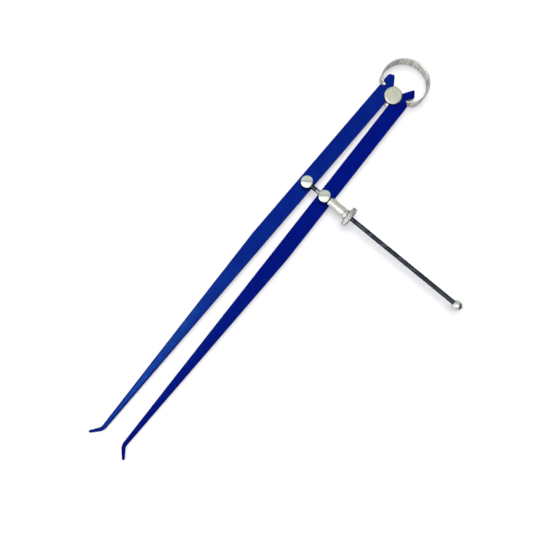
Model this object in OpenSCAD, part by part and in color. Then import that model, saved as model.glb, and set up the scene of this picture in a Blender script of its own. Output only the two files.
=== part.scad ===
// Spring inside caliper, nominal 300 mm, lying on its back.
// +Y runs from the feet to the bow, +X towards the free end of the screw, +Z out of the front face.
// The origin is the middle of the rear fulcrum disc's face.

/* [Legs] */
// Length of a leg from the fulcrum centre to the end of its foot
leg_length = 301; // [270:1:340]
// Width of a leg above its taper
leg_width = 10.7; // [10:0.1:12]
// Thickness of a leg above its taper
leg_thick = 5; // [4:0.1:6]
// Distance from the fulcrum centre to the inner edge of a leg
leg_inset = 1.1; // [0.9:0.1:1.4]
// Half the angle between the legs as they lie
rest_angle = 1.24; // [1:0.02:2]
// Rounding of the legs' long edges
leg_edge_r = 0.7; // [0.4:0.05:0.8]
// Distance from the fulcrum centre to where the width starts to taper
taper_start = 129; // [110:1:150]
// Distance from the fulcrum centre to where the section starts to turn round
round_start = 190; // [170:1:230]

/* [Feet] */
// Diameter of a leg where its foot bends out
ankle_d = 3.2; // [2.8:0.1:3.8]
// Diameter of a foot at its end
foot_d = 1.9; // [1.6:0.1:2.4]
// Angle by which a foot turns out
foot_angle = 38; // [25:1:50]
// Radius of a foot's bend, to its centre line
foot_bend_r = 6; // [4.5:0.5:9]
// Straight length of a foot past its bend
foot_straight = 6.4; // [4:0.2:9]

/* [Leg heads] */
// Radius of the notch that seats the bow spring
notch_r = 0.95; // [0.9:0.05:1.1]
// Distance from a leg's outer edge to the centre of its notch
notch_depth = 2.5; // [2.3:0.1:2.8]
// Height of the notch centre above the fulcrum centre
notch_height = 3; // [2.8:0.1:3.3]
// Slope of the notch's lower side
notch_low_angle = 19.7; // [15:0.1:24]
// Slope of the notch's upper side, left leg
left_notch_angle = 12; // [11:0.5:18]
// Slope of the notch's upper side, right leg
right_notch_angle = 51; // [44:0.5:54]
// Slope of the horn's inner flank
flank_angle = 55; // [53:0.5:58]
// Height above the fulcrum centre where a flank would meet its leg's inner edge
flank_height = 1.7; // [1.5:0.1:2]
// How far the horns reach past the legs' outer edges
horn_reach = 0.3; // [0.1:0.05:0.5]
// Height of the left horn's peak, before rounding
left_horn_height = 11.8; // [11.2:0.1:12.4]
// Height of the right horn's peak, before rounding
right_horn_height = 12.7; // [12:0.1:13.2]
// Height of the left horn's outer corner, before rounding
left_horn_corner = 10.3; // [9.8:0.1:10.6]
// Rounding of the left horn's outer corner
left_corner_r = 2.4; // [1.5:0.1:2.8]
// Rounding of the horns' peaks and lips
horn_r = 1; // [0.9:0.05:1.1]

/* [Fulcrum] */
// Diameter of the two fulcrum discs
disc_d = 11.9; // [10.5:0.1:13]
// Thickness of a fulcrum disc
disc_thick = 2.5; // [2:0.1:3.2]
// Bevel round the outer face of a disc
disc_bevel = 0.6; // [0.3:0.05:0.9]
// Diameter of the roller between the discs
roller_d = 8; // [7:0.1:9]
// Diameter of the stud's spigot, which holds the front disc
spigot_d = 4; // [3:0.1:5]
// Depth of the spigot in the front disc
spigot_depth = 1.7; // [1.2:0.1:1.9]

/* [Bow spring] */
// Width of the spring strip
bow_width = 9.6; // [8.4:0.1:9.8]
// Thickness of the spring strip
bow_thick = 1.1; // [0.9:0.05:1.2]
// Angle below the ring's centre where the strip starts to turn in
bow_turn_angle = 16; // [12:0.5:20]
// Radius of the turned-in ends, to the middle of the strip
bow_end_r = 5; // [4.4:0.1:5.6]
// Slope of the tongues that enter the notches
tongue_slope = 12; // [10:0.5:14]
// Width of a tongue
tongue_width = 4.6; // [3.6:0.1:5.5]
// Length of a tongue to the centre of its round end
tongue_length = 2.15; // [1.9:0.05:2.3]

/* [Posts] */
// Distance of the posts from the fulcrum centre, along a leg
post_reach = 81.2; // [70:0.5:95]
// Distance from a leg's inner edge to the middle of its post
post_in = 4.6; // [4.2:0.1:6]
// Diameter of a post's head
post_d = 8; // [7:0.1:8.6]
// Height of a post's head above its leg
post_height = 7.7; // [7:0.1:9]
// Height of the dome on a post
post_dome = 0.6; // [0.3:0.05:1]
// Diameter of a post's shank in its leg
shank_d = 5; // [4:0.1:5.6]
// Diameter of the riveted tail behind the washer
tail_d = 3.2; // [2.6:0.1:3.6]
// Diameter of the washer behind a leg
washer_d = 7.4; // [6.4:0.1:8]
// Thickness of that washer
washer_thick = 0.9; // [0.6:0.05:1.1]
// Diameter of the riveted head over the washer
rivet_d = 4.6; // [4:0.1:5.2]
// Height of that riveted head
rivet_height = 0.6; // [0.4:0.05:0.8]

/* [Screw] */
// Outside diameter of the screw's thread
screw_d = 3.2; // [2.8:0.05:3.4]
// Free length of the screw, from the middle of the anchor post to the ball
screw_length = 124.5; // [118:0.5:140]
// Depth of the screw in the anchor post, past the post's middle
screw_root = 2.4; // [1.5:0.1:2.8]
// Diameter of the ball end
ball_d = 6.3; // [5:0.1:7.5]
// Length of the ball end with its neck
ball_length = 6.8; // [5.5:0.1:8]
// Diameter of the ball's neck
neck_d = 4; // [3.8:0.1:4.6]
// Length of that neck
neck_length = 0.7; // [0.4:0.1:1.2]

/* [Adjusting nut] */
// Diameter of the sleeve at its ends
sleeve_d = 6.6; // [6.2:0.1:7.4]
// Diameter of the sleeve at its waist
sleeve_waist_d = 6.2; // [5.9:0.1:6.2]
// Length of the sleeve
sleeve_length = 12.2; // [10:0.1:14]
// Bore of the sleeve, round the jaws
sleeve_bore_d = 5; // [4.8:0.05:5.2]
// Thickness of the sleeve's end against the post
sleeve_end = 1.5; // [1:0.1:2]
// Gap between the sleeve and the knurled nut
nut_gap = 0.7; // [0.5:0.05:1]
// Diameter of the knurled nut's collar at its narrow end
collar_d = 6.7; // [6.2:0.1:7.2]
// Diameter of that collar where it meets the flange
collar_base_d = 7.5; // [7.3:0.1:8.5]
// Length of the collar
collar_length = 1.9; // [1.2:0.1:3]
// Diameter of the knurled flange
flange_d = 14.5; // [12:0.1:16]
// Thickness of the knurled flange
flange_thick = 4; // [3:0.1:5]
// Rounding of the flange's rim
flange_rim_r = 0.9; // [0.5:0.05:1.1]
// How far each face of the flange falls away towards its rim
flange_crown = 0.4; // [0.2:0.05:0.45]
// How far the jaws reach into the knurled nut
jaw_hold = 3.4; // [2.4:0.1:4]
// Saw cut between the two jaws
jaw_slit = 0.5; // [0.3:0.05:0.8]
// Diameter of the wire of the jaws' ring
jaw_wire_d = 0.44; // [0.36:0.02:0.5]

/* [Clearances] */
// Radial running clearance of the roller, the shanks and the jaws
run_clear = 0.05; // [0.03:0.01:0.08]
// Clearance between flat faces that turn on each other
face_clear = 0.05; // [0.03:0.01:0.1]
// Radial clearance of a pressed joint
press_clear = 0.02; // [0.01:0.005:0.03]
// Radial clearance of the screw in the guide post and the sleeve
pass_clear = 0.2; // [0.1:0.02:0.3]
// Gap between the sleeve and the guide post
seat_gap = 0.2; // [0.1:0.05:0.4]
// Gap between the sleeve and the leg below it
sleeve_lift = 0.4; // [0.3:0.05:0.8]

/* [Hidden] */
$fn = 72;

leg_rear_z = disc_thick + face_clear;
leg_mid_z = leg_rear_z + leg_thick / 2;
leg_front_z = leg_rear_z + leg_thick;
leg_outer = leg_inset + leg_width;
notch_centre = [leg_outer - notch_depth, notch_height];

// The blade starts below the head, out of the roller's reach
head_foot = roller_d / 2 + 3;
// Steps round each quarter of a rounded edge, and round each corner of the head, with the
// step in the notch where the head's flats are parted
edge_steps = 4;
corner_steps = 7;
notch_step = 5;
levels = 2 * edge_steps + 2;
// A round section keeps a sliver of flat, so that its corners stay apart
roundness = 0.96;
shoulder_r = leg_edge_r + 0.2;

post_x = leg_inset + post_in;
post_at = [post_x * cos(rest_angle) + post_reach * sin(rest_angle),
    post_x * sin(rest_angle) - post_reach * cos(rest_angle)];
screw_z = leg_front_z + sleeve_d / 2 + sleeve_lift;
sleeve_x = post_at.x + post_d / 2 + seat_gap;
screw_hole_d = screw_d + 2 * pass_clear;
jaw_d = sleeve_bore_d - 2 * run_clear;
jaw_bore_d = screw_d + 2 * run_clear;
jaw_length = sleeve_length - sleeve_end - seat_gap + nut_gap + jaw_hold;

leg_blue = [0.02, 0.10, 0.45];
nickel = [0.78, 0.78, 0.75];
steel = [0.62, 0.63, 0.64];
black_steel = [0.09, 0.09, 0.10];

function unit(v) = v / norm(v);
function cross2(a, b) = a.x * b.y - a.y * b.x;
function turned(p, a) = [p.x * cos(a) - p.y * sin(a), p.x * sin(a) + p.y * cos(a)];
function short_turn(a) = a > 180 ? a - 360 : a < -180 ? a + 360 : a;

// An arc of n steps that rounds the corner b between a and c
function rounded_corner(a, b, c, r, n) =
    let (u = unit(a - b), v = unit(c - b), half = acos(u * v) / 2,
        centre = b + unit(u + v) * r / sin(half),
        from = b + u * r / tan(half) - centre, to = b + v * r / tan(half) - centre,
        start = atan2(from.y, from.x), turn = short_turn(atan2(to.y, to.x) - start))
    [for (k = [0:n]) centre + r * [cos(start + turn * k / n), sin(start + turn * k / n)]];

// Where the corner b of a-b-c moves when both its sides move inwards by e
function inset_corner(a, b, c, e) =
    let (d1 = unit(b - a), d2 = unit(c - b),
        p1 = b + e * [-d1.y, d1.x], p2 = b + e * [-d2.y, d2.x])
    p1 + d1 * cross2(p2 - p1, d2) / cross2(d1, d2);

// The point of a horn's flank at height y
function flank_at(y) = [leg_inset + (y - flank_height) / tan(flank_angle), y];

// Corners of a notch between its two sides, and of its lip at x
function notch_corner(up) =
    notch_centre - turned([notch_r / sin((up + notch_low_angle) / 2), 0],
        (up - notch_low_angle) / 2);
function lip_corner(up, x) = [x, notch_corner(up).y + (x - notch_corner(up).x) * tan(up)];
shoulder = [leg_outer, notch_corner(left_notch_angle).y
    - (leg_outer - notch_corner(left_notch_angle).x) * tan(notch_low_angle)];

// Corners of each head with their radii, from the outer edge round the horn to the inner edge
left_head = [
    [shoulder, shoulder_r],
    [notch_corner(left_notch_angle), notch_r],
    [lip_corner(left_notch_angle, leg_outer + horn_reach), horn_r],
    [[leg_outer, left_horn_corner], left_corner_r],
    [flank_at(left_horn_height), horn_r],
    [flank_at(flank_height), horn_r]];
right_head = [
    [shoulder, shoulder_r],
    [notch_corner(right_notch_angle), notch_r],
    [lip_corner(right_notch_angle, leg_outer + horn_reach), horn_r],
    [flank_at(right_horn_height), horn_r],
    [flank_at(flank_height), horn_r]];

// Inset and height of each level of a rounded edge, for a section of half thickness h
function level_angle(j) =
    j <= edge_steps ? 90 * (1 - j / edge_steps) : 90 * (j - edge_steps - 1) / edge_steps;
function level_inset(j, r) = r * (1 - cos(level_angle(j)));
function level_z(j, h, r) = (j <= edge_steps ? 1 : -1) * (h - r * (1 - sin(level_angle(j))));

// The outline of a head, inset by e, from the blade's outer edge round to its inner edge
function head_outline(head, e) =
    let (path = concat([[leg_outer, -head_foot]], [for (c = head) c[0]],
            [[leg_inset, -head_foot]]),
        last = len(path) - 1,
        moved = [for (i = [0:last])
            i == 0 ? path[0] - [e, 0]
            : i == last ? path[last] + [e, 0]
            : inset_corner(path[i - 1], path[i], path[i + 1], e)],
        is_hollow = [for (i = [1:last - 1])
            cross2(path[i] - path[i - 1], path[i + 1] - path[i]) < 0])
    concat([moved[0]],
        [for (i = [1:last - 1])
            each rounded_corner(moved[i - 1], moved[i], moved[i + 1],
                head[i - 1][1] + (is_hollow[i - 1] ? e : -e), corner_steps)],
        [moved[last]]);

// Stations along the blade and foot: centre, turn, width, thickness and edge radius
ankle_y = leg_length - foot_d / 2 * (1 - sin(foot_angle))
    - foot_straight * cos(foot_angle) - foot_bend_r * sin(foot_angle);
foot_run = foot_bend_r * foot_angle * PI / 180 + foot_straight;
function blade_width(y) =
    y < taper_start ? leg_width
    : leg_width + (ankle_d - leg_width) * (y - taper_start) / (ankle_y - taper_start);
function blade_station(y) =
    let (share = max(0, (y - round_start) / (ankle_y - round_start)),
        w = blade_width(y), t = leg_thick + (ankle_d - leg_thick) * share,
        r = leg_edge_r + (roundness * ankle_d / 2 - leg_edge_r) * share)
    [[leg_inset + w / 2, -y], 0, w, t, r];
function foot_station(centre, turn, run) =
    let (d = ankle_d + (foot_d - ankle_d) * run / foot_run)
    [centre, turn, d, d, roundness * d / 2];
bend_steps = 6;
blade_steps = 6;
cap_steps = 3;
bend_centre = [leg_inset + ankle_d / 2 + foot_bend_r, -ankle_y];
bend_end = bend_centre + foot_bend_r * [-cos(foot_angle), -sin(foot_angle)];
foot_way = [sin(foot_angle), -cos(foot_angle)];
foot_end = bend_end + foot_straight * foot_way;
stations = concat(
    [blade_station(taper_start), blade_station(round_start)],
    [for (k = [1:blade_steps])
        blade_station(round_start + (ankle_y - round_start) * k / blade_steps)],
    [for (k = [1:bend_steps])
        let (a = foot_angle * k / bend_steps)
        foot_station(bend_centre + foot_bend_r * [-cos(a), -sin(a)], a,
            foot_bend_r * a * PI / 180)],
    [foot_station(foot_end, foot_angle, foot_run)],
    [for (k = [1:cap_steps])
        let (a = 90 * k / (cap_steps + 0.5), d = foot_d * cos(a))
        [foot_end + foot_way * foot_d / 2 * sin(a), foot_angle, d, d, roundness * d / 2]]);

// The loop of points round a station, down its outer side and up its inner side
function station_loop(s) =
    let (across = [cos(s[1]), sin(s[1])], half_w = s[2] / 2, half_t = s[3] / 2, r = s[4])
    concat(
        [for (j = [0:levels - 1])
            let (p = s[0] + across * (half_w - level_inset(j, r)))
            [p.x, p.y, level_z(j, half_t, r)]],
        [for (j = [levels - 1:-1:0])
            let (p = s[0] - across * (half_w - level_inset(j, r)))
            [p.x, p.y, level_z(j, half_t, r)]]);

// A leg with its inner edge straight down: one skin from the horn to the end of the foot
module forged_leg(head) {
    rings = [for (j = [0:levels - 1])
        [for (p = head_outline(head, level_inset(j, leg_edge_r)))
            [p.x, p.y, level_z(j, leg_thick / 2, leg_edge_r)]]];
    n = len(rings[0]);
    loop = 2 * levels;
    points = concat([for (ring = rings) each ring], [for (s = stations) each station_loop(s)]);
    function on_head(j, i) = j * n + i;
    function on_blade(k, p) =
        k > 0 ? levels * n + (k - 1) * loop + p
        : p < levels ? on_head(p, 0) : on_head(loop - 1 - p, n - 1);
    head_sides = [for (j = [0:levels - 2], i = [0:n - 2])
        each [[on_head(j, i), on_head(j, i + 1), on_head(j + 1, i + 1)],
            [on_head(j, i), on_head(j + 1, i + 1), on_head(j + 1, i)]]];
    blade_sides = [for (k = [0:len(stations) - 1], p = [0:loop - 1])
        let (q = (p + 1) % loop)
        each [[on_blade(k, p), on_blade(k, q), on_blade(k + 1, q)],
            [on_blade(k, p), on_blade(k + 1, q), on_blade(k + 1, p)]]];
    // Each flat of the head is two faces, each of them all in sight of its first corner
    notch = corner_steps + 2 + notch_step;
    peak = 1 + (len(head) - 2) * (corner_steps + 1);
    halves = [
        concat([n - 1], [for (i = [0:notch]) i]),
        concat([for (i = [peak:n - 1]) i], [for (i = [notch:peak - 1]) i])];
    flats = [for (half = halves) each [
        [for (i = [0:len(half) - 1]) on_head(0, half[(len(half) - i) % len(half)])],
        [for (i = half) on_head(levels - 1, i)]]];
    faces = concat(flats, head_sides, blade_sides,
        [[for (p = [0:loop - 1]) on_blade(len(stations), p)]]);
    polyhedron(points, faces);
}

// A leg in its place at rest, with its seat for the roller and its hole for the post
module drilled_leg(head) {
    rotate([0, 0, rest_angle])
    translate([0, 0, leg_mid_z])
    difference() {
        forged_leg(head);
        cylinder(h = leg_thick + 2, d = roller_d + 2 * run_clear, center = true);
        translate([post_x, -post_reach, 0])
        cylinder(h = leg_thick + 2, d = shank_d + 2 * run_clear, center = true);
    }
}

module left_leg() {
    color(leg_blue)
    mirror([1, 0, 0])
    drilled_leg(left_head);
}

module right_leg() {
    color(leg_blue)
    drilled_leg(right_head);
}

// The rear disc, the roller that the legs rock on and the spigot, turned from one bar
module fulcrum_stud() {
    roller_top = leg_front_z + face_clear;
    color(nickel)
    rotate_extrude()
    polygon([[0, 0], [disc_d / 2 - disc_bevel, 0], [disc_d / 2, disc_bevel],
        [disc_d / 2, disc_thick], [roller_d / 2, disc_thick], [roller_d / 2, roller_top],
        [spigot_d / 2, roller_top], [spigot_d / 2, roller_top + spigot_depth],
        [0, roller_top + spigot_depth]]);
}

// The front disc, pressed over the spigot from the front
module fulcrum_cap() {
    seat = leg_front_z + face_clear;
    hole_r = spigot_d / 2 + press_clear;
    hole_end = seat + spigot_depth + press_clear;
    color(nickel)
    rotate_extrude()
    polygon([[hole_r, seat], [disc_d / 2, seat], [disc_d / 2, seat + disc_thick - disc_bevel],
        [disc_d / 2 - disc_bevel, seat + disc_thick], [0, seat + disc_thick],
        [0, hole_end], [hole_r, hole_end]]);
}

// The bow is a ring of flat strip, its ends turned in to tongues that sit in the notches
tongue_tip = turned(notch_centre, rest_angle) - [notch_r - bow_thick / 2 - seat_gap, 0];
tongue_way = [cos(tongue_slope), sin(tongue_slope)];
end_turn = 90 - tongue_slope;
strip_end = tongue_tip + tongue_length * tongue_way;
end_centre = strip_end - bow_end_r * [cos(end_turn), -sin(end_turn)];
bow_r = bow_end_r + end_centre.x / cos(bow_turn_angle);
bow_centre_y = end_centre.y + (bow_r - bow_end_r) * sin(bow_turn_angle);

// Points of half the strip on one side of its middle line, from its tongue up to the crown
arc_steps = 36;
turn_steps = 8;
function half_strip(out) =
    let (end_r = bow_end_r + out, ring_r = bow_r + out)
    concat(
        [for (k = [0:turn_steps - 1])
            let (a = -end_turn + (end_turn - bow_turn_angle) * k / turn_steps)
            end_centre + end_r * [cos(a), sin(a)]],
        [for (k = [0:arc_steps])
            let (a = -bow_turn_angle + (90 + bow_turn_angle) * k / arc_steps)
            [0, bow_centre_y] + ring_r * [cos(a), sin(a)]]);
round_tip = [for (k = [0:turn_steps])
    let (a = tongue_slope + 90 + 180 * k / turn_steps)
    tongue_tip + bow_thick / 2 * [cos(a), sin(a)]];
function mirrored(path) = [for (p = path) [-p.x, p.y]];
function reversed(path, skip = 0) = [for (k = [len(path) - 1 - skip:-1:0]) path[k]];

// What is cut away on each side of a tongue
module tongue_shoulders() {
    for (side = [-1, 1])
        translate(strip_end)
        rotate([0, 0, tongue_slope])
        translate([-2 * tongue_length, -bow_end_r / 2, side > 0 ? tongue_width / 2 : -bow_width])
        cube([2 * tongue_length, bow_end_r, bow_width - tongue_width / 2]);
}

module bow_spring() {
    outside = half_strip(bow_thick / 2);
    inside = half_strip(-bow_thick / 2);
    color(nickel)
    translate([0, 0, leg_mid_z])
    difference() {
        translate([0, 0, -bow_width / 2])
        linear_extrude(bow_width)
        polygon(concat(round_tip, outside, mirrored(reversed(outside, 1)),
            mirrored(reversed(round_tip)), mirrored(inside), reversed(inside, 1)));
        tongue_shoulders();
        mirror([1, 0, 0])
        tongue_shoulders();
    }
}

// A turned post: domed head, shank through the leg, and a tail riveted over its washer
module post() {
    head_z = leg_front_z + face_clear;
    top_z = leg_front_z + post_height;
    washer_z = leg_rear_z - face_clear - washer_thick;
    r = post_d / 2;
    dome_r = (r * r + post_dome * post_dome) / (2 * post_dome);
    dome_a = asin(r / dome_r);
    dome_steps = 8;
    rotate_extrude()
    polygon(concat(
        [[0, washer_z - rivet_height], [rivet_d / 2 - rivet_height / 2, washer_z - rivet_height],
            [rivet_d / 2, washer_z - rivet_height / 2], [rivet_d / 2, washer_z],
            [tail_d / 2, washer_z], [tail_d / 2, leg_rear_z - face_clear],
            [shank_d / 2, leg_rear_z - face_clear], [shank_d / 2, head_z], [r, head_z]],
        [for (k = [0:dome_steps])
            let (a = dome_a * (1 - k / dome_steps))
            [dome_r * sin(a), top_z - dome_r * (1 - cos(a))]]));
}

// Something turned about the screw's axis, with its Z along the screw from x
module on_screw(x) {
    translate([x, post_at.y, screw_z])
    rotate([0, 90, 0])
    children();
}

module post_washer() {
    translate([0, 0, leg_rear_z - face_clear - washer_thick])
    difference() {
        cylinder(h = washer_thick, d = washer_d);
        translate([0, 0, -1])
        cylinder(h = washer_thick + 2, d = tail_d + 2 * press_clear);
    }
}

module anchor_post() {
    color(nickel)
    difference() {
        translate([-post_at.x, post_at.y, 0])
        post();
        on_screw(-post_at.x - screw_root - press_clear)
        cylinder(h = screw_root + post_d, d = screw_d + 2 * press_clear);
    }
}

module anchor_post_washer() {
    color(steel)
    translate([-post_at.x, post_at.y, 0])
    post_washer();
}

module guide_post() {
    color(nickel)
    difference() {
        translate([post_at.x, post_at.y, 0])
        post();
        on_screw(post_at.x - post_d)
        cylinder(h = 2 * post_d, d = screw_hole_d);
    }
}

module guide_post_washer() {
    color(steel)
    translate([post_at.x, post_at.y, 0])
    post_washer();
}

// The screw runs on inside the ball
ball_x = screw_length - post_at.x;
ball_grip = ball_length / 2;

module adjusting_screw() {
    color(black_steel)
    on_screw(-post_at.x - screw_root)
    cylinder(h = screw_root + screw_length + ball_grip, d = screw_d);
}

module screw_end_ball() {
    half = (ball_length - neck_length) / 2;
    neck_a = acos(neck_d / ball_d);
    ball_steps = 14;
    color(nickel)
    on_screw(ball_x)
    difference() {
        rotate_extrude()
        polygon(concat([[0, 0], [neck_d / 2, 0], [neck_d / 2, neck_length]],
            [for (k = [1:ball_steps])
                let (a = -neck_a + (90 + neck_a) * k / ball_steps)
                [ball_d / 2 * cos(a), ball_length - half + half * sin(a)]]));
        translate([0, 0, -1])
        cylinder(h = ball_grip + 1 + press_clear, d = screw_d + 2 * press_clear);
    }
}

// The sleeve bears on the guide post and closes the jaws
module nut_sleeve() {
    chamfer = 0.4;
    band = 1.2;
    waist_steps = 10;
    mouth = 0.5;
    r = sleeve_d / 2;
    dip = (sleeve_d - sleeve_waist_d) / 2;
    color(nickel)
    on_screw(sleeve_x)
    rotate_extrude()
    polygon(concat(
        [[screw_hole_d / 2, 0], [r - chamfer, 0], [r, chamfer]],
        [for (k = [0:waist_steps])
            [r - dip * sin(180 * k / waist_steps),
                band + (sleeve_length - 2 * band) * k / waist_steps]],
        [[r, sleeve_length - chamfer / 2], [r - chamfer / 2, sleeve_length],
            [sleeve_bore_d / 2 + mouth, sleeve_length], [sleeve_bore_d / 2, sleeve_length - mouth],
            [sleeve_bore_d / 2, sleeve_end], [screw_hole_d / 2, sleeve_end]]));
}

// The knurled nut turns the jaws inside the sleeve
module knurled_nut() {
    collar_r = collar_d / 2;
    base_r = collar_base_d / 2;
    hold_r = jaw_d / 2 + press_clear;
    rim = flange_d / 2;
    rim_steps = 5;
    far = collar_length + flange_thick;
    rim_low = collar_length + flange_crown;
    rim_high = far - flange_crown;
    color(nickel)
    on_screw(sleeve_x + sleeve_length + nut_gap)
    rotate_extrude()
    polygon(concat(
        [[hold_r, 0], [collar_r, 0], [base_r, collar_length]],
        [for (k = [0:rim_steps])
            let (a = -90 + 90 * k / rim_steps)
            [rim - flange_rim_r * (1 - cos(a)), rim_low + flange_rim_r * (1 + sin(a))]],
        [for (k = [0:rim_steps])
            let (a = 90 * k / rim_steps)
            [rim - flange_rim_r * (1 - cos(a)), rim_high - flange_rim_r * (1 - sin(a))]],
        [[base_r, far], [screw_hole_d / 2, far], [screw_hole_d / 2, jaw_hold + press_clear],
            [hold_r, jaw_hold + press_clear]]));
}

// The split jaws that carry the thread, with a groove for the ring that opens them
jaw_x = sleeve_x + sleeve_end + seat_gap;
ring_at = 2.2;
ring_r = jaw_d / 2 - jaw_wire_d / 2 - 0.1;

module jaw(side) {
    groove = jaw_wire_d + 0.1;
    on_screw(jaw_x)
    difference() {
        cylinder(h = jaw_length, d = jaw_d);
        translate([0, 0, -1])
        cylinder(h = jaw_length + 2, d = jaw_bore_d);
        translate([side > 0 ? -jaw_slit / 2 : -jaw_d, -jaw_d, -1])
        cube([jaw_d + jaw_slit / 2, 2 * jaw_d, jaw_length + 2]);
        translate([0, 0, ring_at - groove / 2])
        difference() {
            cylinder(h = groove, d = jaw_d + 1);
            translate([0, 0, -1])
            cylinder(h = groove + 2, r = ring_r - groove / 2);
        }
    }
}

module nut_jaw_upper() {
    color(steel)
    jaw(1);
}

module nut_jaw_lower() {
    color(steel)
    jaw(-1);
}

module nut_jaw_ring() {
    opening = 30;
    color(steel)
    on_screw(jaw_x + ring_at)
    rotate([0, 0, opening / 2])
    rotate_extrude(angle = 360 - opening)
    translate([ring_r, 0])
    circle(d = jaw_wire_d, $fn = 16);
}

left_leg();
right_leg();
fulcrum_stud();
fulcrum_cap();
bow_spring();
anchor_post();
anchor_post_washer();
guide_post();
guide_post_washer();
adjusting_screw();
screw_end_ball();
nut_sleeve();
knurled_nut();
nut_jaw_upper();
nut_jaw_lower();
nut_jaw_ring();
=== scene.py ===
"""A spring inside caliper lying on a pale table, seen from straight above.

Its two blue legs turn about a roller between two nickelled discs. A spring bow spreads
them, and a nut on a long black screw holds them against it. After the camera, the table
and the light, the pieces follow in the order in which they are put together.
"""

import math

import bpy
from mathutils import Matrix, Vector


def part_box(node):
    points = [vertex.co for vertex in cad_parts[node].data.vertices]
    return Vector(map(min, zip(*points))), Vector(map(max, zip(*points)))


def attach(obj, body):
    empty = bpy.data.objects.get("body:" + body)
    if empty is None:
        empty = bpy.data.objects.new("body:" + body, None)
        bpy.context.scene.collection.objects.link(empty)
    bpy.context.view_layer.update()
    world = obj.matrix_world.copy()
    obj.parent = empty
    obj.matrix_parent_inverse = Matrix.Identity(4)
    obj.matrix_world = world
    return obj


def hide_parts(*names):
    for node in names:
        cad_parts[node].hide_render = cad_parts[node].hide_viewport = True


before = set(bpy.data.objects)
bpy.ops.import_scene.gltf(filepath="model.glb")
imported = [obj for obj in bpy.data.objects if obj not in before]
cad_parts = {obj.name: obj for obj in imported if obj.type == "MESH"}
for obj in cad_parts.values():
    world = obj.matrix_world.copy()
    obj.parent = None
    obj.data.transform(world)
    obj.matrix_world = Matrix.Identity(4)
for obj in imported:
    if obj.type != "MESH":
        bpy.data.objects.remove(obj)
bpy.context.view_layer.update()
mm = 0.001


# The camera
# It looks down at the caliper from 42 cm above the table, turned so that the legs run
# from the upper right to the lower left. The lens axis falls a little right of the
# picture's middle and below it.
photo_side = 533
focal_length_px = 622.0
lens_axis_px = Vector((289.0, 286.4))
camera_place = Vector((32.6, -142.3, 420.0)) * mm
camera_turn = [math.radians(angle) for angle in (0.61, 0.54, 39.40)]

bpy.ops.object.camera_add(location=camera_place, rotation=camera_turn)
camera = bpy.context.object
camera.name = "camera_above"
camera.data.lens = camera.data.sensor_width * focal_length_px / photo_side
camera.data.shift_x = (photo_side / 2 - lens_axis_px.x) / photo_side
camera.data.shift_y = (lens_axis_px.y - photo_side / 2) / photo_side
camera.data.clip_start = 10 * mm
bpy.context.scene.camera = camera
picture_right = Vector((math.cos(camera_turn[2]), math.sin(camera_turn[2]), 0))
picture_up = Vector((-picture_right.y, picture_right.x, 0))


# The table
# A matt white top, brightened a little for the camera and for what mirrors it. The caliper
# rests on its rear fulcrum disc and its two ankles, which stand higher in its own frame,
# so the table leans by less than a degree to meet them.
table_side = 6.0
table_lean = math.radians(-0.69)
table_colour = (0.62, 0.62, 0.62, 1)
table_glow = 0.43
glow_colour = (0.955, 0.94, 1.0, 1)
disc_low, disc_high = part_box("fulcrum_stud")


def start_finish(name, **sockets):
    """A material with its main shader's sockets set."""
    finish = bpy.data.materials.new(name)
    finish.use_nodes = True
    shader = finish.node_tree.nodes["Principled BSDF"]
    for socket, value in sockets.items():
        shader.inputs[socket.replace("_", " ")].default_value = value
    return finish


def add(owner, kind, sockets=None, **settings):
    """A node of a material or world, with its settings made and its sockets set or linked."""
    tree = owner.node_tree
    made = tree.nodes.new("ShaderNode" + kind)
    for setting, value in settings.items():
        setattr(made, setting, value)
    for socket, value in (sockets or {}).items():
        if isinstance(value, bpy.types.NodeSocket):
            tree.links.new(value, made.inputs[socket])
        else:
            made.inputs[socket].default_value = value
    return made


def link(finish, **sockets):
    """Outputs that drive the main shader's sockets."""
    shader = finish.node_tree.nodes["Principled BSDF"]
    for socket, output in sockets.items():
        finish.node_tree.links.new(output, shader.inputs[socket.replace("_", " ")])


bpy.ops.object.select_all(action="DESELECT")
bpy.ops.mesh.primitive_plane_add(
    size=table_side, location=(0, disc_low.y, disc_low.z), rotation=(table_lean, 0, 0))
table = bpy.context.object
table.name = "table_top"
matt_white = start_finish("matt_white", Base_Color=table_colour, Roughness=1.0,
                          Specular_IOR_Level=0.0, Emission_Color=glow_colour)
rays = add(matt_white, "LightPath")
seen = add(matt_white, "Math", {0: rays.outputs["Is Camera Ray"], 1: rays.outputs["Is Glossy Ray"]},
           operation="MAXIMUM")
glow = add(matt_white, "Math", {0: seen.outputs[0], 1: table_glow}, operation="MULTIPLY")
link(matt_white, Emission_Strength=glow.outputs[0])
table.data.materials.append(matt_white)


# The light
# A broad soft lamp stands towards the top of the picture. The room that shines in the
# metal is grey towards the top and white towards the bottom, with a dark corner low on the
# right and a bright window nearly overhead. The camera itself sees it plain white.
lamp_lean = math.radians(11)
lamp_spread = math.radians(42)
lamp_strength = 2.55
room_light = 0.25
room_tints = (
    (0.00, (0.42, 0.42, 0.40)),
    (0.11, (0.46, 0.46, 0.44)),
    (0.14, (0.62, 0.62, 0.60)),
    (0.19, (0.96, 0.96, 0.96)),
    (0.49, (1.00, 1.00, 1.00)),
    (0.55, (0.63, 0.66, 0.64)),
    (0.59, (0.44, 0.47, 0.45)),
    (0.63, (0.42, 0.45, 0.43)),
    (0.68, (0.57, 0.62, 0.56)),
    (0.74, (0.58, 0.64, 0.56)),
    (0.81, (0.53, 0.57, 0.50)),
    (0.88, (0.40, 0.42, 0.37)),
    (1.00, (0.36, 0.37, 0.33)))
room_gloss = 1.5
corner_lean = math.radians(20)
corner_way = picture_right * math.cos(corner_lean) - picture_up * math.sin(corner_lean)
corner_gloss = 0.12
corner_edge = (0.41, 0.52)
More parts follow.
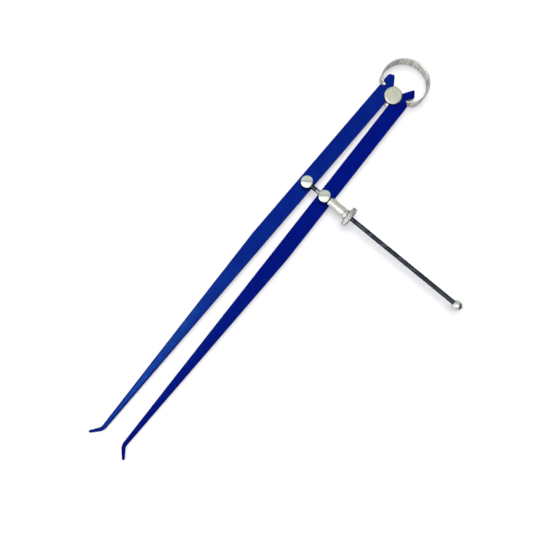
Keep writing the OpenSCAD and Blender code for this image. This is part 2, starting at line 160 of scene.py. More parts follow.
window_way = Vector((-4.75, -1.0, 0))
window_side = (0.55, 0.72)
window_top = (0.88, 0.93)
window_foot = (0.06, -0.02)
window_gloss = 5.5

lamp_way = picture_up * math.sin(lamp_lean) + Vector((0, 0, math.cos(lamp_lean)))
bpy.ops.object.light_add(type="SUN", rotation=lamp_way.to_track_quat("Z", "Y").to_euler())
lamp = bpy.context.object
lamp.name = "soft_lamp"
lamp.data.energy = lamp_strength
lamp.data.angle = lamp_spread
lamp.visible_glossy = False

room = bpy.data.worlds.new("pale_room")
bpy.context.scene.world = room
room.use_nodes = True
room.node_tree.nodes.clear()
rays = add(room, "LightPath")
way = add(room, "TexCoord").outputs["Generated"]
height = add(room, "VectorMath", {0: way, 1: picture_up}, operation="DOT_PRODUCT").outputs["Value"]
share = add(room, "MapRange", {"Value": height, "From Min": -1.0}).outputs[0]
tint = add(room, "ValToRGB", {"Fac": share})
for spot, _ in room_tints[1:-1]:
    tint.color_ramp.elements.new(spot)
for element, (spot, colour) in zip(tint.color_ramp.elements, room_tints):
    element.position = spot
    element.color = (*colour, 1)
corner = add(room, "VectorMath", {0: way, 1: corner_way}, operation="DOT_PRODUCT").outputs["Value"]
dim = add(room, "MapRange", {
    "Value": corner, "From Min": corner_edge[0], "From Max": corner_edge[1],
    "To Min": room_gloss, "To Max": corner_gloss}).outputs[0]
across = add(room, "VectorMath", {0: way, 1: window_way}, operation="DOT_PRODUCT").outputs["Value"]
aside = add(room, "MapRange", {
    "Value": across, "From Min": window_side[0], "From Max": window_side[1]}).outputs[0]
overhead = add(room, "SeparateXYZ", {0: way}).outputs["Z"]
near_top = add(room, "MapRange", {
    "Value": overhead, "From Min": window_top[0], "From Max": window_top[1],
    "To Max": window_gloss}).outputs[0]
below = add(room, "MapRange", {
    "Value": height, "From Min": window_foot[0], "From Max": window_foot[1]}).outputs[0]
window = add(room, "Math", {0: aside, 1: near_top}, operation="MULTIPLY").outputs[0]
pane = add(room, "Math", {0: window, 1: below}, operation="MULTIPLY").outputs[0]
strength = add(room, "Math", {0: dim, 1: pane}, operation="ADD").outputs[0]
mirrored_room = add(room, "Background", {"Color": tint.outputs[0], "Strength": strength})
lit_room = add(room, "Background", {"Color": (1, 1, 1, 1), "Strength": room_light})
white_room = add(room, "Background", {"Color": (1, 1, 1, 1), "Strength": 1.0})
polished = add(room, "MixShader", {
    0: rays.outputs["Is Glossy Ray"], 1: lit_room.outputs[0], 2: mirrored_room.outputs[0]})
straight = add(room, "Math", {
    0: rays.outputs["Is Camera Ray"], 1: rays.outputs["Is Transmission Ray"]}, operation="MAXIMUM")
shown = add(room, "MixShader", {
    0: straight.outputs[0], 1: polished.outputs[0], 2: white_room.outputs[0]})
add(room, "OutputWorld", {"Surface": shown.outputs[0]})
bpy.context.scene.view_settings.view_transform = "Standard"


# The fulcrum stud
# A disc, the roller that the legs rock on and a spigot, turned from one nickelled bar.
# The disc's outer face is fine turned, with a bright rounded rim, and its inner face falls
# away a little from the roller to its edge.
disc_r = disc_high.x
disc_thick = 2.5 * mm
disc_rim = 0.75 * mm
disc_fall = 0.6 * mm
roller_r = 4 * mm
roller_foot = 0.1 * mm
spigot_r = 2 * mm
face_gap = 0.05 * mm
leg_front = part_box("left_leg")[1].z
satin_dull = (0.585, 0.572, 0.495, 1)
satin_clean = (0.740, 0.722, 0.635, 1)
edge_tint = (0.25, 0.25, 0.23, 1)
turning_steps = 96
weld = 0.001 * mm


def turned(name, outline, middle, along="Z", steps=turning_steps):
    """A turned piece: an outline of (height, radius) pairs, spun about an axis through middle."""
    bpy.ops.object.select_all(action="DESELECT")
    bpy.ops.mesh.primitive_plane_add(size=mm)
    piece = bpy.context.object
    piece.name = piece.data.name = name
    bpy.ops.object.mode_set(mode="EDIT")
    bpy.ops.mesh.select_mode(type="VERT")
    bpy.ops.mesh.merge(type="CENTER")
    bpy.ops.transform.translate(value=(outline[0][1], 0, outline[0][0]))
    for (z0, r0), (z1, r1) in zip(outline, outline[1:]):
        bpy.ops.mesh.extrude_vertices_move(TRANSFORM_OT_translate={"value": (r1 - r0, 0, z1 - z0)})
    bpy.ops.mesh.select_all(action="SELECT")
    bpy.ops.mesh.spin(steps=steps, angle=math.tau, center=(0, 0, 0), axis=(0, 0, 1))
    bpy.ops.mesh.select_all(action="SELECT")
    bpy.ops.mesh.remove_doubles(threshold=weld)
    bpy.ops.mesh.normals_make_consistent(inside=False)
    if along == "X":
        bpy.ops.transform.rotate(value=-math.pi / 2, orient_axis="Y", orient_type="GLOBAL",
                                 center_override=(0, 0, 0))
    bpy.ops.transform.translate(value=middle)
    bpy.ops.object.mode_set(mode="OBJECT")
    place_in_mesh(piece)
    return piece


def place_in_mesh(piece):
    """The piece's place goes into its mesh, so that its object sits at the origin."""
    bpy.ops.object.select_all(action="DESELECT")
    piece.select_set(True)
    bpy.context.view_layer.objects.active = piece
    bpy.ops.object.transform_apply(location=True, rotation=True, scale=True)


def apply_modifier(piece, kind, **settings):
    """One modifier, set and applied."""
    bpy.context.view_layer.objects.active = piece
    modifier = piece.modifiers.new(kind.lower(), kind)
    for setting, value in settings.items():
        setattr(modifier, setting, value)
    bpy.ops.object.modifier_apply(modifier=modifier.name)


def smooth(piece, angle=35):
    """Smooth shading that keeps the flats flat and the corners sharp."""
    bpy.ops.object.select_all(action="DESELECT")
    piece.select_set(True)
    bpy.context.view_layer.objects.active = piece
    bpy.ops.object.shade_smooth_by_angle(angle=math.radians(angle))
    apply_modifier(piece, "WEIGHTED_NORMAL", keep_sharp=True, weight=80)


def object_place(finish, middle=(0, 0, 0), turn=(0, 0, 0), stretch=(1, 1, 1)):
    """Object coordinates, centred and turned on a piece, in its own metres."""
    place = add(finish, "TexCoord").outputs["Object"]
    moved = add(finish, "Mapping", {
        "Vector": place, "Location": middle, "Rotation": turn, "Scale": stretch}, vector_type="TEXTURE")
    return moved.outputs[0]


def noise(finish, place, scale, detail=2.0, roughness=0.5):
    """A noise of about scale lumps to the metre."""
    made = add(finish, "TexNoise", {
        "Vector": place, "Scale": scale, "Detail": detail, "Roughness": roughness})
    return made.outputs[0]


def spread(finish, value, low, high, start=0.3, end=0.7):
    """A value from start to end, spread from low to high."""
    made = add(finish, "MapRange", {
        "Value": value, "From Min": start, "From Max": end, "To Min": low, "To Max": high})
    return made.outputs[0]


def tinted(finish, share, low, high):
    """A colour between low and high."""
    made = add(finish, "Mix", {0: share, 6: low, 7: high}, data_type="RGBA")
    return made.outputs[2]


def bumped(finish, height, strength, depth, under=None):
    """A bump of a real depth, on top of another where one is given."""
    sockets = {"Strength": strength, "Distance": depth, "Height": height}
    if under:
        sockets["Normal"] = under
    return add(finish, "Bump", sockets).outputs[0]


def satin_nickel():
    """Fine turned nickel plate: rings too fine to see singly, dulled by handling."""
    finish = start_finish("satin_nickel", Metallic=1.0, Specular_Tint=edge_tint)
    place = object_place(finish)
    rings = add(finish, "TexWave", {
        "Vector": place, "Scale": 2400.0, "Distortion": 1.5, "Detail": 2.0, "Detail Scale": 3.0},
        wave_type="RINGS", rings_direction="Z")
    cloud = noise(finish, place, 640.0, 5.0, 0.6)
    speck = noise(finish, place, 2600.0, 3.0)
    colour = tinted(finish, spread(finish, cloud, 0.0, 1.0), satin_dull, satin_clean)
    link(finish, Base_Color=colour, Roughness=spread(finish, speck, 0.28, 0.42),
         Normal=bumped(finish, rings.outputs["Color"], 0.25, 0.004 * mm,
                       bumped(finish, speck, 0.3, 0.004 * mm)))
    return finish


stud = turned("fulcrum_stud_turned", [
    (0, 0), (0, disc_r - disc_rim), (0.3 * disc_rim, disc_r - 0.25 * disc_rim),
    (disc_rim, disc_r), (disc_thick - disc_fall, disc_r),
    (disc_thick, roller_r + roller_foot), (disc_thick, roller_r),
    (leg_front + face_gap, roller_r), (leg_front + face_gap, spigot_r),
    (disc_high.z, spigot_r), (disc_high.z, 0)], (0, 0, disc_low.z))
smooth(stud)
stud.data.materials.append(satin_nickel())
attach(stud, "fulcrum")
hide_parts("fulcrum_stud")


# The legs
# Each is drop forged from one bar: a notched head with a horn, a long flat blade with
# rounded edges, and a round foot bent outwards. They lie between the two discs and turn
# about the roller. Stoved in one deep blue enamel. The left leg is paler and the right
# deeper only as a painted reflection.
# Enamel tones for each leg. Within a leg they vary at random. Between the legs they differ as a painted
# reflection: paler on the left, deeper on the right.
enamel_deep_with_side_sheen = {"left": (0.0002, 0.0030, 0.180, 1), "right": (0.0001, 0.0008, 0.160, 1)}
enamel_light_with_side_sheen = {"left": (0.0004, 0.0085, 0.220, 1), "right": (0.0002, 0.0030, 0.190, 1)}
enamel_worn = (0.003, 0.020, 0.260, 1)
enamel_ior = {"left": 1.34, "right": 1.20}
enamel_edge_tint = (0.1, 0.5, 1.0, 1)
seam_weld = 0.002 * mm
flat_within = math.radians(0.4)


def merged_copy(node, name):
    """A copy of a CAD node with its loose triangles joined."""
    bpy.ops.object.select_all(action="DESELECT")
    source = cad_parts[node]
    source.select_set(True)
    bpy.context.view_layer.objects.active = source
    bpy.ops.object.duplicate()
    piece = bpy.context.object
    piece.name = piece.data.name = name
    piece.parent = None
    piece.matrix_world = Matrix.Identity(4)
    piece.data.materials.clear()
    bpy.ops.object.mode_set(mode="EDIT")
    bpy.ops.mesh.select_all(action="SELECT")
    bpy.ops.mesh.remove_doubles(threshold=seam_weld)
    bpy.ops.mesh.dissolve_limited(angle_limit=flat_within)
    bpy.ops.object.mode_set(mode="OBJECT")
    return piece


def blue_enamel(side):
    """Glossy enamel that flowed a little before it set, with faint rubbing on its edges."""
    finish = start_finish(side + "_enamel", IOR=enamel_ior[side], Specular_Tint=enamel_edge_tint)
    place = object_place(finish)
    pools = noise(finish, place, 42.0, 2.0)
    peel = noise(finish, place, 620.0, 2.0)
    haze = noise(finish, place, 150.0, 4.0)
    speck = noise(finish, place, 1900.0, 2.0)
    facing = add(finish, "NewGeometry").outputs["Normal"]
    upright = add(finish, "Math", {0: add(finish, "SeparateXYZ", {0: facing}).outputs["Z"]},
                  operation="ABSOLUTE").outputs[0]
    on_edge = spread(finish, upright, 0.0, 1.0, 0.96, 0.75)
    rubbed = add(finish, "Math", {0: on_edge, 1: spread(finish, speck, 0.0, 0.8, 0.58, 0.68)},
                 operation="MULTIPLY")
    # The tones for each side carry the painted reflection: paler on the left leg, deeper on the right.
    flowed = tinted(finish, spread(finish, pools, 0.0, 1.0), enamel_deep_with_side_sheen[side], enamel_light_with_side_sheen[side])
    colour = tinted(finish, rubbed.outputs[0], flowed, enamel_worn)
    link(finish, Base_Color=colour, Roughness=spread(finish, haze, 0.10, 0.24),
         Normal=bumped(finish, peel, 0.10, 0.012 * mm))
    return finish


for side in ("left", "right"):
    leg = merged_copy(side + "_leg", side + "_leg_forged")
    smooth(leg)
    leg.data.materials.append(blue_enamel(side))
    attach(leg, side + "_leg")
    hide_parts(side + "_leg")


# The fulcrum cap
# The front disc, pressed over the stud's spigot. Its face is satin, and its rim was
# turned over bright.
cap_low, cap_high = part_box("fulcrum_cap")
cap_r = cap_high.x
cap_hole_r = 2.02 * mm
cap_hole_deep = 1.72 * mm
cap_rim = 0.95 * mm
cap_rim_curve = ((0.80, 0), (0.42, 0.13), (0.14, 0.45), (0, 1))

cap = turned("fulcrum_cap_turned", [
    (cap_hole_deep, 0), (cap_hole_deep, cap_hole_r), (0, cap_hole_r), (0, cap_r)]
    + [(disc_thick - drop * cap_rim, cap_r - inset * cap_rim) for drop, inset in cap_rim_curve]
    + [(disc_thick, 0)], (0, 0, cap_low.z))
smooth(cap)
cap.data.materials.append(bpy.data.materials["satin_nickel"])
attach(cap, "fulcrum")
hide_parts("fulcrum_cap")


# The bow spring
# A strip of spring steel rolled to a ring, its ends turned in to tongues that sit in the
# heads' notches. Nickelled, with bright rounded edges and cross marks from its rolling,
# and sprung a little out of round to its right.
bow_low, bow_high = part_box("bow_spring")
bow_thick = 1.1 * mm
bow_wide = bow_high.z - bow_low.z
bow_out = bow_high.x
bow_r = bow_out - bow_thick / 2
bow_middle = Vector((0, bow_high.y - bow_out, (bow_low.z + bow_high.z) / 2))
bow_end_r = 5 * mm
turn_in = math.radians(16)
tongue_slope = math.radians(12)
bow_end_middle = bow_middle + (bow_r - bow_end_r) * Vector((math.cos(turn_in), -math.sin(turn_in), 0))
ring_turn = math.pi / 2 + turn_in
end_turn = math.pi / 2 - tongue_slope - turn_in
tongue_way = Vector((-math.cos(tongue_slope), -math.sin(tongue_slope), 0))
tongue_long = 2.15 * mm + bow_thick / 2
tongue_wide = 4.6 * mm
bow_edge_r = 0.50 * mm
bow_edge_steps = 5
ring_steps = 60
end_steps = 12
tongue_taper = ((0.80, 1.0), (0.92, 0.88), (0.98, 0.78), (1.0, 0.70))
set_turn = math.radians(35)
set_way = Vector((math.cos(set_turn), math.sin(set_turn), 0))
set_reach = 1.2 * mm
set_patch = 1.2 * bow_thick
set_spread = 20 * mm
strip_edge_slope = 0.15
strip_dark = (0.34, 0.34, 0.31, 1)
strip_bright = (0.88, 0.88, 0.82, 1)
strip_tint = (0.50, 0.50, 0.47, 1)
polish_dull = (0.62, 0.63, 0.59, 1)
polish_clean = (0.68, 0.68, 0.65, 1)


def select_faces(piece, wanted):
    """In edit mode, selects the faces whose middle is wanted."""
    bpy.ops.mesh.select_mode(type="FACE")
    bpy.ops.mesh.select_all(action="DESELECT")
    bpy.ops.object.mode_set(mode="OBJECT")
    for face in piece.data.polygons:
        face.select = wanted(face.center)
    bpy.ops.object.mode_set(mode="EDIT")


def rolled_nickel():
    """Nickel over rolled strip: streaks across the strip, brighter where hands rub it."""
    finish = start_finish("rolled_nickel", Metallic=1.0, Specular_Tint=strip_tint)
    across = object_place(finish, stretch=(1, 1, 22))
    streak = noise(finish, across, 1500.0, 3.0, 0.6)
    broad = noise(finish, across, 420.0, 2.0)
    both = add(finish, "Math", {0: streak, 1: broad}, operation="ADD").outputs[0]
    colour = tinted(finish, spread(finish, both, 0.0, 1.0, 0.75, 1.25), strip_dark, strip_bright)
    link(finish, Base_Color=colour, Roughness=spread(finish, streak, 0.16, 0.34),
         Normal=bumped(finish, both, 0.5, 0.006 * mm))
    return finish


def polished_nickel():
    """Mirror nickel plate with the hairlines that wiping leaves."""
    finish = start_finish("polished_nickel", Metallic=1.0, Specular_Tint=edge_tint)
    place = object_place(finish)
    sway = noise(finish, place, 330.0, 1.0)
    hairs = noise(finish, object_place(finish, turn=(0.4, 0.7, 0.3), stretch=(1, 14, 14)), 5200.0, 2.0)
    cloud = noise(finish, place, 380.0, 3.0)
    colour = tinted(finish, spread(finish, cloud, 0.0, 1.0), polish_dull, polish_clean)
    link(finish, Base_Color=colour, Roughness=spread(finish, cloud, 0.09, 0.18),
         Normal=bumped(finish, hairs, 0.15, 0.003 * mm, bumped(finish, sway, 1.0, 0.075 * mm)))
    return finish


bpy.ops.object.select_all(action="DESELECT")
bpy.ops.mesh.primitive_plane_add(size=1, location=bow_middle + Vector((0, bow_r, 0)),
                                 rotation=(0, math.pi / 2, 0))
bow = bpy.context.object
bow.name = bow.data.name = "bow_spring_rolled"
bow.scale = (bow_wide, bow_thick, 1)
place_in_mesh(bow)
bpy.ops.object.mode_set(mode="EDIT")
bpy.ops.mesh.select_mode(type="VERT")
bpy.ops.mesh.select_all(action="SELECT")
bpy.ops.mesh.bevel(offset=bow_edge_r, segments=bow_edge_steps, affect="VERTICES")
bpy.ops.mesh.select_mode(type="FACE")
bpy.ops.mesh.select_all(action="SELECT")
bpy.ops.mesh.spin(steps=ring_steps, angle=ring_turn, center=bow_middle, axis=(0, 0, 1))
bpy.ops.mesh.spin(steps=end_steps, angle=end_turn, center=bow_end_middle, axis=(0, 0, 1))
strip_end = bow_end_middle + bow_end_r * Vector((math.sin(tongue_slope), -math.cos(tongue_slope), 0))
bpy.ops.mesh.extrude_region_move()
bpy.ops.transform.resize(value=(1, 1, tongue_wide / bow_wide), center_override=strip_end)
reached = 0
for share, size in tongue_taper:
    bpy.ops.mesh.extrude_region_move(
        TRANSFORM_OT_translate={"value": tongue_way * tongue_long * (share - reached)})
    bpy.ops.transform.resize(value=(size, size, size),
                             center_override=strip_end + tongue_way * tongue_long * share)
    reached = share
select_faces(bow, lambda middle: abs(middle.x) < weld)
bpy.ops.mesh.delete(type="FACE")
bpy.ops.object.mode_set(mode="OBJECT")
apply_modifier(bow, "MIRROR", use_axis=(True, False, False), merge_threshold=seam_weld)
bpy.ops.object.mode_set(mode="EDIT")
bpy.ops.mesh.select_all(action="SELECT")
bpy.ops.mesh.normals_make_consistent(inside=False)
set_spot = bow_middle + set_way * bow_r
select_faces(bow, lambda middle: (middle - set_spot).xy.length < set_patch)
bpy.ops.transform.translate(value=set_way * set_reach, use_proportional_edit=True,
                            proportional_edit_falloff="SMOOTH", proportional_size=set_spread)
bpy.ops.object.mode_set(mode="OBJECT")
smooth(bow)
bow.data.materials.append(rolled_nickel())
bow.data.materials.append(polished_nickel())
for face in bow.data.polygons:
    face.material_index = 1 if abs(face.normal.z) > strip_edge_slope else 0
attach(bow, "bow")
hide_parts("bow_spring")


# The posts
# Two domed heads of bright nickel, turned with shanks that pass through the legs and turn
# in them. Each tail is riveted over a plain washer behind its leg.
post_head_r = 4 * mm
post_foot = leg_front + face_gap
post_dome = 0.6 * mm
post_edge = 0.25 * mm
shank_r = 2.5 * mm
tail_r = 1.6 * mm
rivet_curve = ((0.6 * mm, 0), (0.6 * mm, 1.95 * mm), (0.3 * mm, 2.24 * mm), (0, 2.3 * mm))
washer_low, washer_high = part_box("guide_post_washer")
screw_low, screw_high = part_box("adjusting_screw")
screw_r = (screw_high.z - screw_low.z) / 2
screw_middle = (screw_low + screw_high) / 2
blind_hole_r = 1.62 * mm
through_hole_r = 1.8 * mm
dome_steps = 10
drill_sides = 48


def dome(height, r, rise, steps=dome_steps):
    """Points of a shallow dome of rise over radius r, from its edge to its pole."""
    sphere_r = (r * r + rise * rise) / (2 * rise)
    widest = math.asin(r / sphere_r)
    return [(height + rise - sphere_r * (1 - math.cos(widest * k / steps)),
             sphere_r * math.sin(widest * k / steps)) for k in range(steps, -1, -1)]


def bore(piece, start, end, r):
    """A hole drilled through or into a piece, from start to end."""
    bpy.ops.object.select_all(action="DESELECT")
    way = end - start
    bpy.ops.mesh.primitive_cylinder_add(
        vertices=drill_sides, radius=r, depth=way.length, location=(start + end) / 2,
        rotation=way.to_track_quat("Z", "Y").to_euler())
    drill = bpy.context.object
    apply_modifier(piece, "BOOLEAN", object=drill, operation="DIFFERENCE", solver="EXACT")
    bpy.data.objects.remove(drill)


def round_edges(piece, radius, steps=3, sharper_than=40):
    """The edges that turn by more than an angle, rounded."""
    apply_modifier(piece, "BEVEL", width=radius, segments=steps, limit_method="ANGLE",
                   angle_limit=math.radians(sharper_than), use_clamp_overlap=True)


for name, body in (("anchor_post", "anchor"), ("guide_post", "guide")):
    post_low, post_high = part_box(name)
    post_middle = Vector(((post_low.x + post_high.x) / 2, (post_low.y + post_high.y) / 2, 0))
    post = turned(name + "_turned", [(washer_low.z - drop, r) for drop, r in rivet_curve] + [
        (washer_low.z, tail_r), (washer_high.z, tail_r), (washer_high.z, shank_r),
        (post_foot, shank_r), (post_foot, post_head_r)]
        + dome(post_high.z - post_dome, post_head_r, post_dome), post_middle)
    hole_start = Vector((post_middle.x, screw_middle.y, screw_middle.z))
    if name == "anchor_post":
        bore(post, Vector((screw_low.x, screw_middle.y, screw_middle.z)),
             hole_start + Vector((2 * post_head_r, 0, 0)), blind_hole_r)
    else:
        bore(post, hole_start - Vector((2 * post_head_r, 0, 0)),
             hole_start + Vector((2 * post_head_r, 0, 0)), through_hole_r)
    round_edges(post, post_edge, sharper_than=50)
    smooth(post)
    post.data.materials.append(bpy.data.materials["polished_nickel"])
    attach(post, body)
    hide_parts(name)


# The washers
# Stamped from plain steel, one under each riveted tail, with edges broken by tumbling.
washer_r = 3.7 * mm
washer_hole_r = 1.62 * mm
washer_edge = 0.15 * mm
oiled_steel = (0.44, 0.44, 0.45, 1)
clean_steel = (0.60, 0.60, 0.60, 1)


def plain_steel():
    """Bare steel, dulled by a thin film of oil and a little fine scratching."""
    finish = start_finish("plain_steel", Metallic=1.0)
    place = object_place(finish)
    film = noise(finish, place, 500.0, 4.0)
    scratch = noise(finish, object_place(finish, turn=(0, 0, 0.6), stretch=(1, 18, 1)), 4200.0, 2.0)
    colour = tinted(finish, spread(finish, film, 0.0, 1.0), oiled_steel, clean_steel)
    link(finish, Base_Color=colour, Roughness=spread(finish, scratch, 0.25, 0.42),
         Normal=bumped(finish, scratch, 0.3, 0.004 * mm))
    return finish


steel = plain_steel()
for name, body in (("anchor_post_washer", "anchor"), ("guide_post_washer", "guide")):
    low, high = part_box(name)
    thick = high.z - low.z
    washer = turned(name + "_stamped", [
        (0, washer_hole_r), (0, washer_r), (thick, washer_r), (thick, washer_hole_r),
        (0, washer_hole_r)], ((low.x + high.x) / 2, (low.y + high.y) / 2, low.z))
    round_edges(washer, washer_edge, steps=2)
    smooth(washer)
    washer.data.materials.append(steel)
    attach(washer, body)
    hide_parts(name)


# The adjusting screw
# A fine thread rolled on black oxided steel rod, fast in the anchor post and free in the
# guide post. The crests shine where the nut and fingers have rubbed the black away, and a
# short stretch between the posts is bare.
pitch = 0.64 * mm
thread_deep = 0.20 * mm
thread_profile = ((0.12, 0), (0.20, 1), (0.48, 0), (0.20, -1))
thread_steps = 20
spare_turns = 4
bare_middle = 2 * mm
bare_long = 2 * mm
oxide_black = (0.014, 0.020, 0.032, 1)
oxide_worn = (0.15, 0.18, 0.225, 1)
bare_steel = (0.44, 0.45, 0.46, 1)
oxide_edge_tint = (0.04, 0.05, 0.07, 1)


def about_screw(finish):
    """Coordinates about the screw's axis, the distance out from it and the place along it."""
    place = object_place(finish, (0, screw_middle.y, screw_middle.z))
    parts = add(finish, "SeparateXYZ", {0: place})
    flat = add(finish, "CombineXYZ", {"Y": parts.outputs["Y"], "Z": parts.outputs["Z"]})
    out = add(finish, "VectorMath", {0: flat.outputs[0]}, operation="LENGTH").outputs["Value"]
    return place, out, parts.outputs["X"]


def blackened_steel():
    """Black oxide on steel, worn through to metal on the crests in patches."""
    finish = start_finish("blackened_steel", Metallic=1.0, Specular_Tint=oxide_edge_tint)
    place, out, along = about_screw(finish)
    crest = spread(finish, out, 0.0, 1.0, screw_r - 0.5 * thread_deep, screw_r)
    patch = noise(finish, place, 320.0, 4.0, 0.65)
    worn = add(finish, "Math", {0: crest, 1: spread(finish, patch, 0.20, 1.0, 0.40, 0.64)},
               operation="MULTIPLY").outputs[0]
    offset = add(finish, "Math", {0: along, 1: bare_middle}, operation="SUBTRACT").outputs[0]
    apart = add(finish, "Math", {0: offset}, operation="ABSOLUTE").outputs[0]
    bare = spread(finish, apart, 0.85, 0.0, 0.5 * bare_long, 0.9 * bare_long)
    black = tinted(finish, worn, oxide_black, oxide_worn)
    colour = tinted(finish, bare, black, bare_steel)
    link(finish, Base_Color=colour, Roughness=spread(finish, patch, 0.16, 0.32))
    return finish


turns = math.ceil((screw_high.x - screw_low.x) / pitch) + spare_turns
bpy.ops.object.select_all(action="DESELECT")
bpy.ops.mesh.primitive_plane_add(size=mm)
screw = bpy.context.object
screw.name = screw.data.name = "adjusting_screw_threaded"
bpy.ops.object.mode_set(mode="EDIT")
bpy.ops.mesh.select_mode(type="VERT")
bpy.ops.mesh.merge(type="CENTER")
bpy.ops.transform.translate(value=(screw_r - thread_deep, 0, 0))
for rise, out in thread_profile:
    bpy.ops.mesh.extrude_vertices_move(
        TRANSFORM_OT_translate={"value": (out * thread_deep, 0, rise * pitch)})
bpy.ops.object.mode_set(mode="OBJECT")
apply_modifier(screw, "SCREW", angle=math.tau, screw_offset=pitch, iterations=turns,
               steps=thread_steps, render_steps=thread_steps, axis="Z", use_merge_vertices=True,
               merge_threshold=seam_weld)
bpy.ops.object.mode_set(mode="EDIT")
bpy.ops.mesh.select_all(action="SELECT")
bpy.ops.mesh.remove_doubles(threshold=seam_weld)
bpy.ops.transform.rotate(value=-math.pi / 2, orient_axis="Y", center_override=(0, 0, 0))
thread_start = screw_low.x - spare_turns / 2 * pitch
bpy.ops.transform.translate(value=(thread_start, screw_middle.y, screw_middle.z))
for end, way in ((screw_low, -1), (screw_high, 1)):
    bpy.ops.mesh.select_all(action="SELECT")
    bpy.ops.mesh.bisect(plane_co=(end.x, 0, 0), plane_no=(way, 0, 0), use_fill=True,
                        clear_outer=True, threshold=weld)
bpy.ops.mesh.select_all(action="SELECT")
bpy.ops.mesh.normals_make_consistent(inside=False)
bpy.ops.object.mode_set(mode="OBJECT")
place_in_mesh(screw)
smooth(screw)
screw.data.materials.append(blackened_steel())
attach(screw, "anchor")
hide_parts("adjusting_screw")


# The end ball
# A nickelled ball, a little longer than it is wide, drilled and pressed over the screw's
# far end, so that the nut can't run off it.
ball_low, ball_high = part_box("screw_end_ball")
ball_over = 0.12 * mm
ball_r = (ball_high.z - ball_low.z) / 2 + ball_over
ball_long = ball_high.x - ball_low.x
mouth_r = 2.2 * mm
ball_grip = 3.42 * mm
ball_steps = 20
small_turning_steps = 64


def ball_outline():
    """From the ball's mouth over its middle to its pole."""
    lean = math.acos(mouth_r / ball_r)
    half = ball_long / (1 + math.sin(lean))
    turns = [-lean + (math.pi / 2 + lean) * k / ball_steps for k in range(ball_steps)]
    return [(ball_long - half + half * math.sin(turn), ball_r * math.cos(turn)) for turn in turns]


ball = turned("screw_end_ball_turned", [
    (ball_grip, 0), (ball_grip, blind_hole_r), (0, blind_hole_r)] + ball_outline() + [(ball_long, 0)],
    (ball_low.x, screw_middle.y, screw_middle.z), along="X", steps=small_turning_steps)
smooth(ball)
ball.data.materials.append(bpy.data.materials["polished_nickel"])
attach(ball, "anchor")
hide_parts("screw_end_ball")


# The nut's sleeve
# A thin nickelled tube, waisted a little between two bands. It pushes on the guide post
# and slides back over the nut's split jaws to close them on the thread.
sleeve_low, sleeve_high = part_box("nut_sleeve")
sleeve_r = (sleeve_high.z - sleeve_low.z) / 2
sleeve_long = sleeve_high.x - sleeve_low.x
sleeve_band = 1.2 * mm
sleeve_dip = 0.2 * mm
sleeve_chamfer = 0.4 * mm
sleeve_bore_r = 2.5 * mm
sleeve_end = 1.5 * mm
sleeve_mouth = 0.5 * mm
waist_steps = 16
sleeve_dull = (0.61, 0.62, 0.57, 1)
sleeve_clean = (0.67, 0.67, 0.63, 1)


def drawn_nickel():
    """Bright nickel over a turned tube: faint turning rings and a soft sheen."""
    finish = start_finish("drawn_nickel", Metallic=1.0, Specular_Tint=edge_tint)
    place = object_place(finish)
    rings = noise(finish, object_place(finish, stretch=(1, 30, 30)), 6000.0, 2.0)
    cloud = noise(finish, place, 420.0, 3.0)
    colour = tinted(finish, spread(finish, cloud, 0.0, 1.0), sleeve_dull, sleeve_clean)
    link(finish, Base_Color=colour, Roughness=spread(finish, cloud, 0.10, 0.18),
         Normal=bumped(finish, rings, 0.3, 0.003 * mm))
    return finish


sleeve = turned("nut_sleeve_turned", [
    (0, through_hole_r), (0, sleeve_r - sleeve_chamfer),
    (0.3 * sleeve_chamfer, sleeve_r - 0.3 * sleeve_chamfer), (sleeve_chamfer, sleeve_r)]
    + [(sleeve_band + (sleeve_long - 2 * sleeve_band) * k / waist_steps,
        sleeve_r - sleeve_dip * math.sin(math.pi * k / waist_steps)) for k in range(waist_steps + 1)]
    + [(sleeve_long - sleeve_chamfer / 2, sleeve_r), (sleeve_long, sleeve_r - sleeve_chamfer / 2),
       (sleeve_long, sleeve_bore_r + sleeve_mouth), (sleeve_long - sleeve_mouth, sleeve_bore_r),
       (sleeve_end, sleeve_bore_r), (sleeve_end, through_hole_r), (0, through_hole_r)],
    (sleeve_low.x, screw_middle.y, screw_middle.z), along="X", steps=small_turning_steps)
smooth(sleeve)
sleeve.data.materials.append(drawn_nickel())
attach(sleeve, "sleeve")
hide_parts("nut_sleeve")


# The knurled nut
# A flange turned in one with its collar. Its rim is rolled with a diamond knurl, which
# holds a little dark oil in its grooves. The split jaws are pressed into the collar.
nut_low, nut_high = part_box("knurled_nut")
rim_r = (nut_high.z - nut_low.z) / 2
nut_long = nut_high.x - nut_low.x
collar_long = 1.9 * mm
collar_r = 3.35 * mm
collar_base_r = 3.75 * mm
crown = 0.4 * mm
rim_round = 0.9 * mm
jaw_seat_r = 2.47 * mm
jaw_seat_deep = 3.42 * mm
knurl_columns = 56
knurl_deep = 0.13 * mm
knurl_border = 0.05 * mm
same_column = 0.1
knurl_oily = (0.34, 0.34, 0.31, 1)
knurl_clean = (0.86, 0.86, 0.82, 1)
knurl_points = (0.98, 0.98, 0.96, 1)


def rim_outline():
    """The rounded rim from its near side to its far side, in rows as wide as the knurl's."""
    low = collar_long + crown + rim_round
    high = nut_long - crown - rim_round
    near = [(low - rim_round * math.cos(turn), rim_r - rim_round * (1 - math.sin(turn)))
            for turn in (0, math.pi / 4, math.pi / 2)]
    far = [(low + high - height, r) for height, r in reversed(near)]
    return [(height, r - knurl_deep) for height, r in near + [((low + high) / 2, rim_r)] + far]


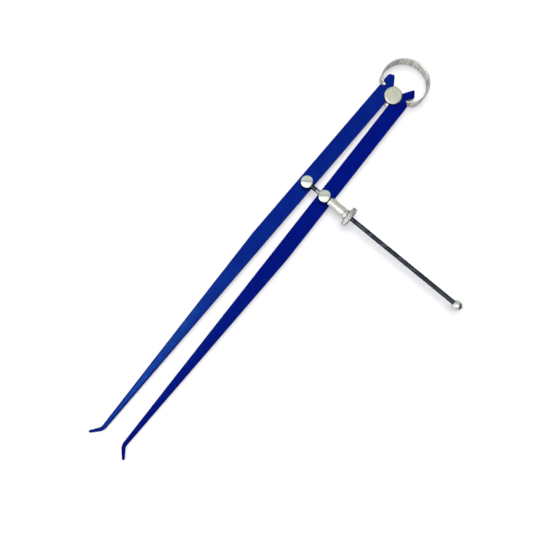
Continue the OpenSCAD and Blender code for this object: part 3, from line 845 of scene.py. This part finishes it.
def knurled_nickel():
    """Nickel over a knurl: bright on its points, with dark oil between them."""
    finish = start_finish("knurled_nickel", Metallic=1.0, Specular_Tint=edge_tint)
    place, out, _ = about_screw(finish)
    point = spread(finish, out, 0.0, 1.0, rim_r - knurl_deep, rim_r - 0.3 * knurl_deep)
    oil = noise(finish, place, 900.0, 3.0)
    colour = tinted(finish, spread(finish, oil, 0.0, 1.0), knurl_oily, knurl_clean)
    worn = tinted(finish, point, colour, knurl_points)
    link(finish, Base_Color=worn, Roughness=spread(finish, oil, 0.30, 0.14))
    return finish


def out_from_screw(point):
    """How far a point is from the screw's axis."""
    return math.hypot(point.y - screw_middle.y, point.z - screw_middle.z)


def on_rim(point):
    """Whether a point is on the knurled rim, within its two border rings."""
    near = nut_low.x + collar_long + crown + knurl_border
    far = nut_high.x - crown - knurl_border
    inner = rim_r - rim_round - knurl_deep + knurl_border
    return out_from_screw(point) > inner and near < point.x < far


def select_edges(piece, wanted):
    """In edit mode, selects the edges whose two ends are wanted."""
    bpy.ops.mesh.select_mode(type="EDGE")
    bpy.ops.mesh.select_all(action="DESELECT")
    bpy.ops.object.mode_set(mode="OBJECT")
    points = piece.data.vertices
    for edge in piece.data.edges:
        edge.select = wanted(*[points[end].co for end in edge.vertices])
    bpy.ops.object.mode_set(mode="EDIT")


def columns_apart(a, b):
    """The angle between two points about the screw, in knurl columns."""
    places = [math.atan2(point.z - screw_middle.z, point.y - screw_middle.y) for point in (a, b)]
    apart = abs(places[0] - places[1]) / math.tau * knurl_columns
    return min(apart, knurl_columns - apart)


nut = turned("knurled_nut_turned", [
    (0, jaw_seat_r), (0, collar_r), (collar_long, collar_base_r)] + rim_outline() + [
    (nut_long, collar_base_r), (nut_long, through_hole_r), (jaw_seat_deep, through_hole_r),
    (jaw_seat_deep, jaw_seat_r), (0, jaw_seat_r)],
    (nut_low.x, screw_middle.y, screw_middle.z), along="X", steps=knurl_columns)
bpy.ops.object.mode_set(mode="EDIT")
select_faces(nut, on_rim)
bpy.ops.mesh.poke(offset=0)
select_edges(nut, lambda a, b: on_rim((a + b) / 2) and (
    abs(a.x - b.x) < weld or columns_apart(a, b) < same_column))
bpy.ops.mesh.dissolve_edges(use_verts=False)
select_faces(nut, on_rim)
bpy.ops.mesh.poke(offset=knurl_deep, center_mode="MEDIAN")
bpy.ops.object.mode_set(mode="OBJECT")
smooth(nut, angle=20)
nut.data.materials.append(knurled_nickel())
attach(nut, "nut")
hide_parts("knurled_nut")


# The nut's jaws
# A steel bush slit in two and kept together by a wire ring in a groove. All of it is
# hidden in the sleeve and the nut, so the CAD's own solids stay, in plain steel.
for name in ("nut_jaw_upper", "nut_jaw_lower", "nut_jaw_ring"):
    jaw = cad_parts[name]
    for seat in jaw.material_slots:
        seat.material = steel
